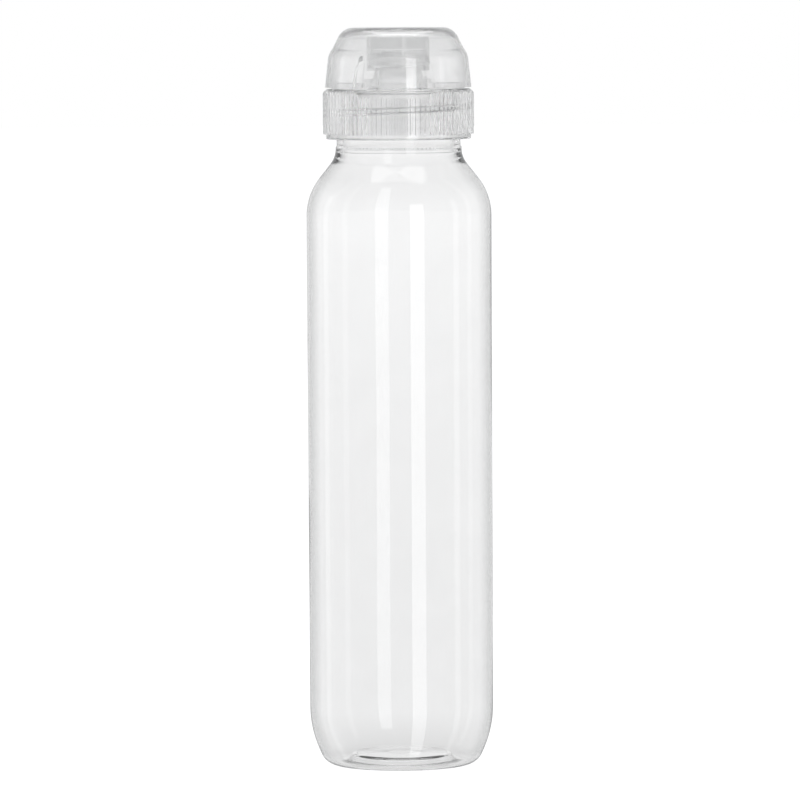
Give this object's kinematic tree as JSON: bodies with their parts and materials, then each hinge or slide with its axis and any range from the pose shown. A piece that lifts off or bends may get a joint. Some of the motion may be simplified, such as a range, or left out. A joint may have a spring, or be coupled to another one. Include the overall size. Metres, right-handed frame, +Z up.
{
  "type": "dispensing sauce bottle",
  "caption": "Clear round squeeze bottle with a ribbed screw closure, a central spout and a hinged flip lid with a thumb recess.",
  "frame": {"origin": "centre of the resting ring under the bottle, in the plane it stands on", "axes": "+Z up along the bottle's axis, -Y towards the thumb recess of the lid, +Y towards the hinge, +X to the right seen from the thumb recess"},
  "size_m": [0.0518, 0.0518, 0.2065],
  "materials": {
    "clear_pet": "clear, glossy blown wall",
    "soft_seal": "soft foamed seal",
    "natural_pp": "natural translucent, satin to gloss",
    "clear_pp": "natural translucent, glossy, clearer than the skirt"
  },
  "bodies": {
    "bottle": {"bottle": "clear_pet"},
    "sealing_ring": {"sealing_ring": "soft_seal"},
    "closure": {"closure_base": "natural_pp", "hinge_film": "natural_pp"},
    "lid": {"flip_lid": "clear_pp"}
  },
  "joints": [
    {"name": "closure_lift", "type": "slide", "parent": "bottle", "child": "sealing_ring", "axis": [0, 0, 1], "range_m": [0, 0.0053]},
    {"name": "closure_turn", "type": "hinge", "parent": "sealing_ring", "child": "closure", "pos_m": [0, 0, 0.18], "axis": [0, 0, 1], "range_deg": [0, 450]},
    {"name": "lid_hinge", "type": "hinge", "parent": "closure", "child": "lid", "pos_m": [0, 0.0215, 0.1897], "axis": [-1, 0, 0], "range_deg": [0, 180]}
  ],
  "couplings": [
    {"joint": "closure_lift", "follows": "closure_turn", "m_per_rad": 0.00067322}
  ]
}
